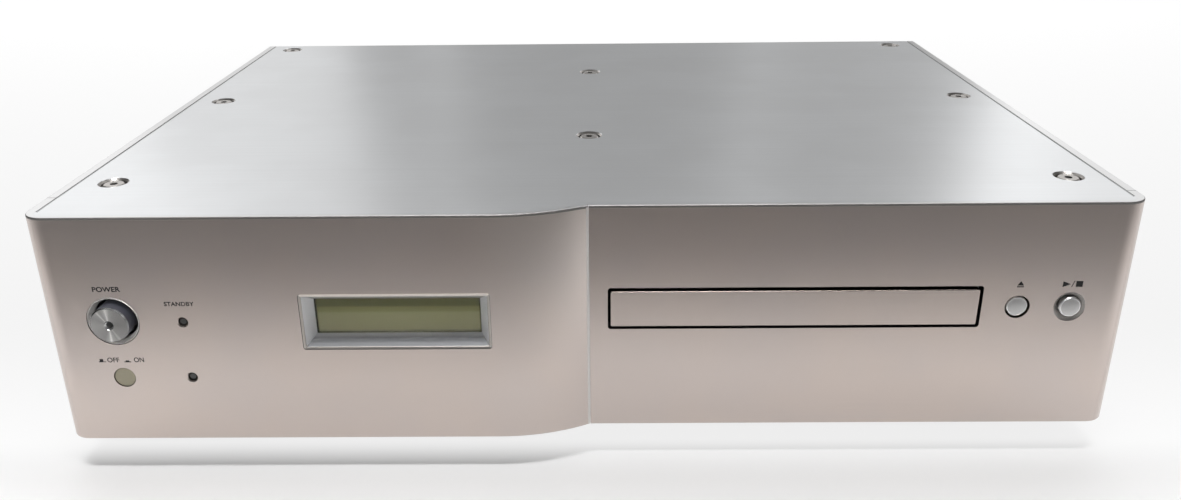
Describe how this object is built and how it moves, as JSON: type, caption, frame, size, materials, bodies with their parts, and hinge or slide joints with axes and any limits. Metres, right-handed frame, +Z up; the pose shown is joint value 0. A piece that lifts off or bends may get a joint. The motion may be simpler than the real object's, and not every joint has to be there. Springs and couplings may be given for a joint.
{
  "type": "disc player",
  "caption": "Full-width hi-fi disc player: stepped aluminium cabinet, motorised disc tray, display window, power, eject and play buttons, disc mechanism and rear sockets.",
  "frame": {"origin": "middle of the object's box, on the surface that its feet stand on", "axes": "+X to the player's right seen from the front, +Y to the rear sockets, +Z up; the front faces -Y"},
  "size_m": [0.42, 0.3276, 0.109],
  "materials": {
    "panel_aluminium": "fine brushed, clear anodised",
    "plate_aluminium": "long brushed grain, clear anodised",
    "turned_aluminium": "turned, bright edge",
    "bezel_aluminium": "satin with a bright edge",
    "screw_steel": "bright nickel plated",
    "frame_steel": "plain zinc plated sheet",
    "black_steel": "matt black paint",
    "black_plastic": "fine texture",
    "grey_plastic": "moulded, satin",
    "tray_plastic": "moulded, fine matt texture",
    "white_plastic": "acetal, satin",
    "clear_window": "clear acrylic",
    "lens_glass": "coated",
    "receiver_plastic": "smoky, translucent",
    "lcd_glass": "olive display glass, unlit",
    "rubber": "soft black rubber",
    "green_board": "green solder mask",
    "copper_windings": "dark varnished wrap",
    "capacitor_sleeve": "shrink sleeve",
    "plated_socket": "gold plated"
  },
  "bodies": {
    "cabinet": {"left_front_panel": "panel_aluminium", "right_front_panel": "panel_aluminium", "left_side_panel": "panel_aluminium", "right_side_panel": "panel_aluminium", "top_plate": "plate_aluminium", "top_screws": "screw_steel", "top_rails": "frame_steel", "base_chassis": "black_steel", "inner_frame": "frame_steel", "rear_panel": "black_steel", "rear_screws": "screw_steel", "feet": "black_plastic", "foot_pads": "rubber", "lower_screws": "screw_steel", "display_bezel": "bezel_aluminium", "display_window": "clear_window", "display_panel": "lcd_glass", "display_board": "green_board", "power_ring": "turned_aluminium", "power_switch": "black_plastic", "indicator_guides": "black_plastic", "receiver_window": "receiver_plastic", "indicator_board": "green_board", "button_holder": "black_plastic", "key_board": "green_board", "loader_chassis": "black_plastic", "loader_bushes": "rubber", "loading_motor": "frame_steel", "loading_belt": "rubber", "clamp_bridge": "frame_steel", "transformer": "copper_windings", "transformer_clamp": "frame_steel", "power_board": "green_board", "audio_board": "green_board", "servo_board": "green_board", "chassis_posts": "frame_steel", "capacitors": "capacitor_sleeve", "heat_sink": "black_steel", "phono_jacks": "plated_socket", "optical_and_control_jacks": "black_plastic", "mains_inlet": "black_plastic"},
    "tray": {"tray_door": "panel_aluminium", "disc_tray": "tray_plastic"},
    "power_button": {"power_button": "turned_aluminium"},
    "eject_button": {"eject_button": "turned_aluminium"},
    "play_button": {"play_button": "turned_aluminium"},
    "drive_gear": {"drive_gear": "white_plastic"},
    "pulley_gear": {"pulley_gear": "white_plastic"},
    "motor_pulley": {"motor_pulley": "white_plastic"},
    "lift_slider": {"lift_slider": "white_plastic"},
    "traverse": {"traverse_plate": "frame_steel", "guide_rods": "screw_steel", "spindle_motor": "frame_steel", "sled_motor": "frame_steel"},
    "turntable": {"turntable": "grey_plastic"},
    "clamp_puck": {"clamp_puck": "black_plastic"},
    "pickup": {"optical_pickup": "grey_plastic"},
    "lens": {"lens_holder": "lens_glass"},
    "sled_gear": {"sled_gear": "white_plastic"},
    "sled_pinion": {"sled_pinion": "white_plastic"}
  },
  "joints": [
    {"name": "tray_slide", "type": "slide", "parent": "cabinet", "child": "tray", "axis": [0, -1, 0], "range_m": [0, 0.137]},
    {"name": "drive_gear_spin", "type": "hinge", "parent": "cabinet", "child": "drive_gear", "pos_m": [0.037, -0.12615, 0.06], "axis": [0, 0, 1], "continuous": true},
    {"name": "pulley_gear_spin", "type": "hinge", "parent": "cabinet", "child": "pulley_gear", "pos_m": [0.0562, -0.12615, 0.056], "axis": [0, 0, 1], "continuous": true},
    {"name": "motor_pulley_spin", "type": "hinge", "parent": "cabinet", "child": "motor_pulley", "pos_m": [0.0902, -0.12615, 0.054], "axis": [0, 0, 1], "continuous": true},
    {"name": "power_press", "type": "slide", "parent": "cabinet", "child": "power_button", "axis": [0, 1, 0], "range_m": [0, 0.004], "stiffness_N_per_m": 500},
    {"name": "eject_press", "type": "slide", "parent": "cabinet", "child": "eject_button", "axis": [0, 1, 0], "range_m": [0, 0.0012], "stiffness_N_per_m": 700},
    {"name": "play_press", "type": "slide", "parent": "cabinet", "child": "play_button", "axis": [0, 1, 0], "range_m": [0, 0.0012], "stiffness_N_per_m": 700},
    {"name": "traverse_tilt", "type": "hinge", "parent": "cabinet", "child": "traverse", "pos_m": [0.0796, 0.00785, 0.0538], "axis": [1, 0, 0], "range_deg": [0, 5]},
    {"name": "lift_slide", "type": "slide", "parent": "cabinet", "child": "lift_slider", "axis": [1, 0, 0], "range_m": [0, 0.0162]},
    {"name": "spindle_spin", "type": "hinge", "parent": "traverse", "child": "turntable", "pos_m": [0.0796, -0.08085, 0.067], "axis": [0, 0, 1], "continuous": true},
    {"name": "clamp_spin", "type": "hinge", "parent": "cabinet", "child": "clamp_puck", "pos_m": [0.0796, -0.08085, 0.077], "axis": [0, 0, 1], "continuous": true},
    {"name": "sled_slide", "type": "slide", "parent": "traverse", "child": "pickup", "axis": [0, 1, 0], "range_m": [0, 0.036]},
    {"name": "sled_gear_spin", "type": "hinge", "parent": "traverse", "child": "sled_gear", "pos_m": [0.1164, -0.03015, 0.0586], "axis": [0, 0, 1], "continuous": true},
    {"name": "sled_pinion_spin", "type": "hinge", "parent": "traverse", "child": "sled_pinion", "pos_m": [0.1164, -0.01815, 0.0586], "axis": [0, 0, 1], "continuous": true},
    {"name": "lens_focus", "type": "slide", "parent": "pickup", "child": "lens", "axis": [0, 0, 1], "range_m": [-0.0006, 0.0006], "stiffness_N_per_m": 60}
  ],
  "couplings": [
    {"joint": "drive_gear_spin", "follows": "tray_slide", "rad_per_m": 100},
    {"joint": "pulley_gear_spin", "follows": "tray_slide", "rad_per_m": -300},
    {"joint": "motor_pulley_spin", "follows": "tray_slide", "rad_per_m": -1200},
    {"joint": "lift_slide", "follows": "traverse_tilt", "m_per_rad": 0.18335},
    {"joint": "clamp_spin", "follows": "spindle_spin", "ratio": 1},
    {"joint": "sled_gear_spin", "follows": "sled_slide", "rad_per_m": -208.33},
    {"joint": "sled_pinion_spin", "follows": "sled_slide", "rad_per_m": 625}
  ]
}
